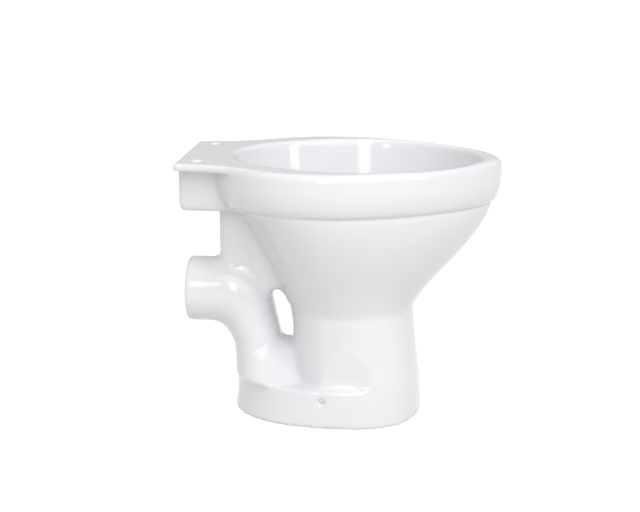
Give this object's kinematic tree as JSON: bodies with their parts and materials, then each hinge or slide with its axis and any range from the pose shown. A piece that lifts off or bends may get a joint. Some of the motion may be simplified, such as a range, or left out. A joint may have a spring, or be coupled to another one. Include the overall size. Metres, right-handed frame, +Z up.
{
  "type": "floor-standing toilet pan",
  "caption": "Glazed ceramic wash-down toilet pan with a hollow flushing rim, waisted pedestal, open rear slot and horizontal outlet spigot.",
  "frame": {"origin": "middle of the pan's bounding box, on the floor that the foot stands on", "axes": "+Z up, +X to the pan's right seen from its front, across the plane of symmetry, +Y to the back, towards the outlet and the flush inlet"},
  "size_m": [0.3552, 0.4813, 0.4],
  "materials": {
    "glazed_china": "glossy white glaze over vitreous china"
  },
  "bodies": {
    "root": {"rim_ring": "glazed_china", "wash_ring": "glazed_china", "seat_deck": "glazed_china", "inlet_horn": "glazed_china", "bowl": "glazed_china", "neck": "glazed_china", "trap_bend": "glazed_china", "riser_elbow": "glazed_china", "outlet_spigot": "glazed_china", "back_web": "glazed_china", "pedestal_skirt": "glazed_china", "foot_ring": "glazed_china"}
  },
  "joints": []
}
